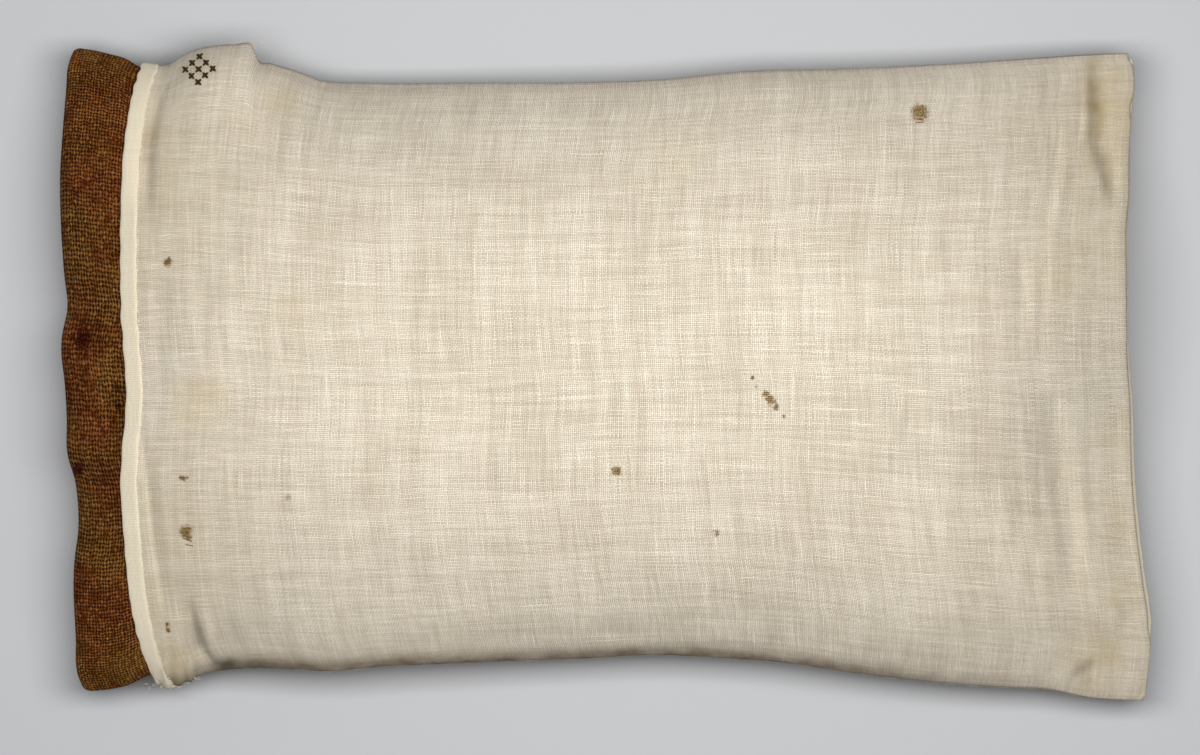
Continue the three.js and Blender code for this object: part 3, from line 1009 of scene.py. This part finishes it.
# %% The darns
def darn(name, x, y, size, level_threads, upright_threads, thick, fan=0.0):
    """Threads laid level and then upright over a worn place, the upright ones fanned out by `fan`."""
    bm = bmesh.new()
    half = size / 2
    for k in range(level_threads):
        at_y = y + half * (2 * (k + 0.5) / level_threads - 1) + draw.uniform(-0.12, 0.12)
        ends, tilt = draw.uniform(-0.7, 0.5, 2), draw.uniform(-0.35, 0.35)
        start, end = (x - half + ends[0], at_y - tilt), (x + half + ends[1], at_y + tilt)
        across_cloth(bm, start, end, thick, 0.05, 0.08, droop=draw.uniform(-0.3, 0.3))
    for k in range(upright_threads):
        share = 2 * (k + 0.5) / upright_threads - 1
        ends = draw.uniform(-0.7, 0.4, 2)
        start = (x + half * share, y - half + ends[0])
        end = (x + half * share * (1 + fan) + draw.uniform(-0.4, 0.4), y + half + ends[1])
        across_cloth(bm, start, end, thick, 0.16, 0.06)
    return thread_piece(name, bm, darn_thread)


worn_darn = darn("darn_at_corner", 96.9, 80.2, 4.4, 6, 5, 0.3, fan=0.1)
middle_darn = darn("darn_in_middle", 3.3, -30.2, 2.3, 3, 4, 0.24, fan=0.3)
mouth_darn = darn("darn_near_mouth", -128.8, -49.1, 3.1, 4, 3, 0.2, fan=-0.7)

# Short rust-coloured ends lie below two of the darns.
ends_bm = bmesh.new()
for x, y, lean in ((96.9, 77.7, -0.2), (96.8, 76.9, 0.1), (-128.2, -51.6, -0.6), (-127.8, -53.2, -0.3)):
    across_cloth(ends_bm, (x - 1.5, y - lean), (x + 1.5, y + lean), 0.26, 0.1)
darn_ends = thread_piece("darn_ends", ends_bm, rust_thread)
darns = (worn_darn, middle_darn, mouth_darn, darn_ends)
print("darns:", ", ".join(f"{piece.name} {len(piece.data.polygons)} faces" for piece in darns))

# %% [markdown]
# ## Loose threads
# A few pale thread ends have come loose at the frayed near corner of the hem, and at the far corner where
# the seam has pulled. Hair particles could make them, but a few short threads laid at random angles are
# lighter and stay put.

# %% Loose threads
frayed = bmesh.new()
for x, y, count, reach in ((-134, -97.6, 34, 2.4), (-138.5, -97.4, 14, 2.0), (-110, 101.4, 10, 1.7)):
    for _ in range(count):
        px, py = x + draw.normal(0, 2.2 if count > 7 else 0.8), y + draw.normal(0, 0.35)
        z = float(near_rim(px)) if y < 0 else float(far_rim(px))
        heading = draw.uniform(0, 2 * math.pi)
        bend = draw.uniform(-1.2, 1.2)
        line = []
        for t in (0, 0.25, 0.5, 0.75, 1.0):
            dx, dy = reach * t * math.cos(heading + bend * t), 0.6 * reach * t * math.sin(heading + bend * t)
            line.append((px + dx, py + dy, z + 0.3 + 0.5 * math.sin(3 * t)))
        lay_thread(frayed, line, 0.16, sides=5)
loop_height = float(near_rim(-127)) + 1.2
loop = [(-127 + 1.1 * math.cos(a), -94.9 + 0.9 * math.sin(a), loop_height + 0.3 * math.sin(2 * a))
        for a in np.linspace(0.3, 5.6, 12)]
lay_thread(frayed, loop, 0.22, sides=5)
loose_threads = thread_piece("loose_threads", frayed, linen_thread)
print("loose threads:", len(loose_threads.data.polygons), "faces")

# %% [markdown]
# ## The wool pillow
# The pillow is a closed form: two nets joined along their edges, with small puckers beside the seams. A
# Cloth simulation with pressure and no gravity swells it a little. Only its rise and fall is kept, because
# the seams hold the outline, and it is then pressed back under the linen, as the case holds the real one.

# %% The shape of the pillow
wool_left = line_through(
    (-99.5, -162.4), (-96, -164), (-83, -165), (-58, -165.3), (-50, -164.2), (-40, -164.4), (-33, -165.4),
    (-28, -167.2), (-14, -167.8), (-3, -168.5), (7, -169.6), (13, -169), (18.5, -167.6), (30, -168.6),
    (45, -169.6), (61, -169.9), (76, -169), (88, -168), (96, -167.3), (101, -165.4),
)
wool_far_out = line_through(
    (-170, 101.2), (-164, 100.9), (-159, 100.1), (-154, 98.9), (-149, 97.5), (-144, 94.2), (-138, 92.6),
    (-130, 92.4),
)
wool_near_out = line_through(
    (-170, -99), (-164, -99.2), (-158, -99.2), (-154, -98.7), (-148, -97.3), (-144, -95.2), (-139, -93.2),
    (-130, -92.2),
)
wool_rim = 20.5  # the highest that the pillow's own seam lies
wool_wall = 1.2


def plain_edge(x):
    return 89.5 + 12 * (np.abs(x) / 169.5) ** 2.2 - 2.8


def wool_far(x):
    inside = np.minimum(far_edge(x) - 2.8, plain_edge(x))
    return wool_far_out(x) + (inside - wool_far_out(x)) * smooth((x + 144) / 8)


def wool_near(x):
    inside = np.maximum(near_edge(x) + 2.8, -plain_edge(x))
    return wool_near_out(x) + (inside - wool_near_out(x)) * smooth((x + 144) / 8)


def wool_right(y):
    return np.minimum(pillow_right, foot_line(y) - 3.0) - 0.4


def cut_corner(d, radius):
    """How far a rounded corner draws the side in, at a distance d from the end."""
    d = np.clip(d, 0, radius)
    return radius - np.sqrt(radius ** 2 - (radius - d) ** 2)


# Where the mends and creases draw the wool in: x and y, reach and depth.
pinches = [
    (-162.2, 10.4, 5.5, -3.4), (-163.8, -30.4, 5.0, -3.0), (-151, -9, 4.5, -1.6), (-166, 20, 4.0, -1.2),
]


def wool_place(face):
    def place(u, v):
        b = rolled(v)
        y_left, y_right = 0.7 + 100.0 * b, 97.0 * b
        left, right = wool_left(y_left) - 0.5, wool_right(y_right)
        x = left + (right - left) * (u - 0.3 * np.sin(2 * math.pi * u) / (2 * math.pi))
        cut = cut_corner(x - left, 1.4) + cut_corner(right - x, 6.0)
        near, far = wool_near(x) + cut - 0.4, wool_far(x) - cut + 0.4
        y = near + (far - near) * (b + 1) / 2
        rim = np.minimum(seam_height(x), wool_rim)
        full = taper(x - left) * taper(right - x)
        seam_pucker = 0.5 * waves(x, 0 * x, 11, 61, lean=0.0) * np.exp(-(1 - np.abs(b)) * 16)
        end_pucker = 0.6 * waves(y, 0 * y, 14, 63, lean=0.0) * np.exp(-(x - left) / 5)
        closed = (1 - np.abs(b) ** 10) * smooth((x - left) / 3) * smooth((right - x) / 3)
        relief = (seam_pucker + end_pucker + 0.35 * waves(x, y, 33, 65)) * closed
        for px, py, r, h in pinches:
            near_pinch = np.exp(-(((x - px) / r) ** 2 + ((y - py) / r) ** 2))
            rays = np.cos(6 * np.arctan2(y - py, x - px) + px) * np.hypot(x - px, y - py) / r
            relief += (h * near_pinch - 0.28 * h * rays * near_pinch ** 0.6) * closed
        if face == "top":
            z = rim + bulge(b) * top_rise * full + relief
        else:
            z = np.maximum(1.25, rim - bulge(b) * belly_drop * full - 0.5 * relief)
        return np.stack([x, y, z], axis=1)
    return place


def wool_flat(u, v):
    return np.stack([u * 330, (2 * v - 1) * 112, 0 * u], axis=1)


def joined_nets(columns, rows):
    """The pillow's two faces, welded along their edges."""
    bm = net(columns, rows, wool_place("top"), wool_flat)
    below = net(columns, rows, wool_place("base"), wool_flat, face_down=True)
    half = bpy.data.meshes.new("pillow_half")
    below.to_mesh(half)
    below.free()
    bm.from_mesh(half)
    bpy.data.meshes.remove(half)
    bmesh.ops.remove_doubles(bm, verts=bm.verts, dist=2e-5)
    return bm


wool_pillow = new_piece("wool_pillow", joined_nets(132, 84), wool.material)
print("pillow:", len(wool_pillow.data.vertices), "corners")

# %% The pillow swells, and is pressed back by its case
def corners_of(mesh):
    co = np.zeros(len(mesh.vertices) * 3, np.float32)
    mesh.vertices.foreach_get("co", co)
    return co.reshape(-1, 3).astype(float)


def swell(piece, pressure, frames, most):
    """Runs a short Cloth simulation and keeps how it rises and sinks, each corner by at most `most` metres.

    The seams hold the outline, so nothing moves level, and less and less moves towards them."""
    before = corners_of(piece.data)
    cloth = piece.modifiers.new("swell", "CLOTH")
    cloth.settings.quality = 6
    cloth.settings.mass = 0.2
    cloth.settings.tension_stiffness = cloth.settings.compression_stiffness = 25
    cloth.settings.bending_stiffness = 0.4
    cloth.settings.use_pressure = True
    cloth.settings.uniform_pressure_force = pressure
    cloth.settings.effector_weights.gravity = 0
    for at_frame in range(1, frames + 1):
        scene.frame_set(at_frame)
    swollen = piece.evaluated_get(bpy.context.evaluated_depsgraph_get())
    moved = corners_of(swollen.data) - before
    piece.modifiers.remove(cloth)
    scene.frame_set(1)
    rim = np.minimum(seam_height(before[:, :1] / MM), wool_rim)
    moved *= smooth(np.abs(before[:, 2:] / MM - rim) / 6) * [0, 0, 1]
    far = np.linalg.norm(moved, axis=1, keepdims=True)
    moved *= np.minimum(1, most / np.maximum(far, 1e-9))
    piece.data.vertices.foreach_set("co", (before + moved).astype(np.float32).ravel())
    piece.data.update()
    print(f"pillow swelled by up to {far.max() / MM:.1f} mm, capped at {most / MM:.1f} mm")


mouth_reach = -149.8  # past this the pillow is out of the case
hem_back = -141.0     # from here to the mouth, the hem makes the linen thicker


def press_into_case(piece):
    """Keeps the part that is in the case clear of the linen above and below it."""
    co = corners_of(piece.data) / MM
    pressed = 0
    for k, (x, y, z) in enumerate(co):
        if x < mouth_reach:
            co[k, 2] = max(z, wool_wall)
            continue
        above, below = cloth_at(x, y)[0], cloth_at(x, y, "base")[0]
        if above is None or below is None:
            continue
        by_hem = float(smooth((hem_back - x) / 4))
        top = above - linen_wall - (1.1 + 0.9 * by_hem)
        bottom = below + linen_wall + 0.55 + 0.6 * by_hem
        if z > top or z < bottom:
            pressed += 1
        halfway = (top + bottom) / 2
        co[k, 2] = min(max(z, min(bottom, halfway)), max(top, halfway))
    piece.data.vertices.foreach_set("co", (co * MM).astype(np.float32).ravel())
    piece.data.update()
    print("pressed back", pressed, "of", len(co), "corners")


swell(wool_pillow, 4.0, 18, 1.6 * MM)
press_into_case(wool_pillow)
finer = wool_pillow.modifiers.new("finer", "SUBSURF")
finer.levels = finer.render_levels = 1

# %% [markdown]
# ## Seams and mends of the wool
# The pillow's seams are whipped with brown wool thread. Near the exposed end two places are drawn in by
# stitches of dark red thread.

# %% Seams and mends of the wool
whip_step = 4.2  # from one whip stitch to the next


def wool_seam(name, points, up):
    bm = bmesh.new()
    points = np.array(points)
    for k in range(len(points) - 1):
        a, b = points[k], points[k + 1]
        out = np.array(up, float)
        lay_thread(bm, [a - 1.3 * out + (0, 0, 0.9), a - 0.6 * out + (0, 0, 0.75), (a + b) / 2 - 0.3 * out,
                        b - 0.6 * out - (0, 0, 0.75), b - 1.3 * out - (0, 0, 0.9)], 0.55)
    return thread_piece(name, bm, wool_thread)


def side_points(edge):
    xs = np.arange(-160.0, 146.0, whip_step)
    rim = np.minimum(seam_height(xs), wool_rim)
    return [(x, float(edge(np.array([x]))[0]), float(z)) for x, z in zip(xs, rim)]


wool_seam_far = wool_seam("wool_seam_far", side_points(wool_far), (0, 1, 0))
wool_seam_near = wool_seam("wool_seam_near", side_points(wool_near), (0, -1, 0))
left_ys, right_ys = np.arange(-94.0, 95.0, whip_step), np.arange(-86.0, 86.0, whip_step)
left_points = [(float(wool_left(y)) + 0.2, y, 17.0) for y in left_ys]
right_points = [(float(wool_right(y)), y, 17.6) for y in right_ys]
wool_seam_end = wool_seam("wool_seam_end", left_points, (-1, 0, 0))
wool_seam_inner = wool_seam("wool_seam_inner", right_points, (1, 0, 0))
print("whip stitches at the pillow's ends:", len(left_points) + len(right_points))

wool_tree = BVHTree.FromObject(wool_pillow, bpy.context.evaluated_depsgraph_get())


def on_wool(x, y, lift):
    hit = wool_tree.ray_cast(Vector((x * MM, y * MM, 0.2)), Vector((0, 0, -1)))
    return None if hit[0] is None else np.array([x, y, hit[0].z / MM + lift])


def mend(name, stitches):
    """Short red stitches, each given by its middle, its length and its angle."""
    bm = bmesh.new()
    for x, y, length, degrees in stitches:
        dx, dy = length * math.cos(math.radians(degrees)), length * math.sin(math.radians(degrees))
        shares = (-0.5, -0.25, 0, 0.25, 0.5)
        line = [on_wool(x + dx * t, y + dy * t, 0.15 + 0.5 * (1 - 4 * t * t)) for t in shares]
        if all(p is not None for p in line):
            lay_thread(bm, line, 0.9)
    return thread_piece(name, bm, red_thread)


mend_far = mend("wool_mend_far", [
    (-163.2, 12.2, 3.0, 70), (-161.6, 10.6, 3.2, 20), (-163.8, 9.0, 2.6, -35), (-160.6, 8.6, 2.8, 80),
    (-162.2, 13.4, 2.4, 15), (-165.2, 10.9, 2.2, 60), (-159.6, 11.6, 2.2, -20), (-162.6, 8.0, 2.0, 40),
])
mend_near = mend("wool_mend_near", [
    (-163.6, -29.6, 2.6, 35), (-164.4, -31.2, 2.4, 50), (-162.6, -28.6, 1.8, 10),
])
print("mends:", len(mend_far.data.polygons), len(mend_near.data.polygons), "faces")

# %% [markdown]
# ## What moves with what
# The case stays, and the pillow's own pieces ride with the pillow. Each piece says which CAD nodes it
# stands for.

# %% What moves with what
case_pieces = {
    linen_top: ("linen", ["case_top"]),
    linen_base: ("linen", ["case_base"]),
    mouth_hem: ("hem_linen", ["mouth_hem_top", "mouth_hem_base"]),
    hem_stitches: ("linen_thread", ["hem_stitches_top", "hem_stitches_base"]),
    side_roll_far: ("linen", []),
    side_roll_near: ("linen", []),
    end_roll: ("linen", []),
    side_stitches_far: ("linen_thread", ["case_seam_far"]),
    side_stitches_near: ("linen_thread", ["case_seam_near"]),
    end_stitches: ("linen_thread", ["case_end_seam"]),
    corner_mark: ("mark_thread", ["cross_stitch_mark"]),
    worn_darn: ("darn_thread", ["worn_darn"]),
    middle_darn: ("darn_thread", ["middle_darn"]),
    mouth_darn: ("darn_thread", ["mouth_darn"]),
    darn_ends: ("darn_thread", []),
    loose_threads: ("linen_thread", []),
}
pillow_pieces = {
    wool_pillow: ("brown_wool", ["ticking_top", "ticking_base", "pillow_filling"]),
    wool_seam_far: ("wool_thread", ["ticking_seam_far"]),
    wool_seam_near: ("wool_thread", ["ticking_seam_near"]),
    wool_seam_end: ("wool_thread", ["ticking_closing_seam"]),
    wool_seam_inner: ("wool_thread", ["ticking_inner_seam"]),
    mend_far: ("wool_thread", ["ticking_darn_far"]),
    mend_near: ("wool_thread", ["ticking_darn_near"]),
}
for body, pieces in (("case", case_pieces), ("pillow", pillow_pieces)):
    for piece, (slot, nodes) in pieces.items():
        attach(piece, body)
        if nodes:
            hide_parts(*nodes)
for piece in case_pieces:
    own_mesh(piece)

print("pieces of the case:", len(case_pieces), "and of the pillow:", len(pillow_pieces))
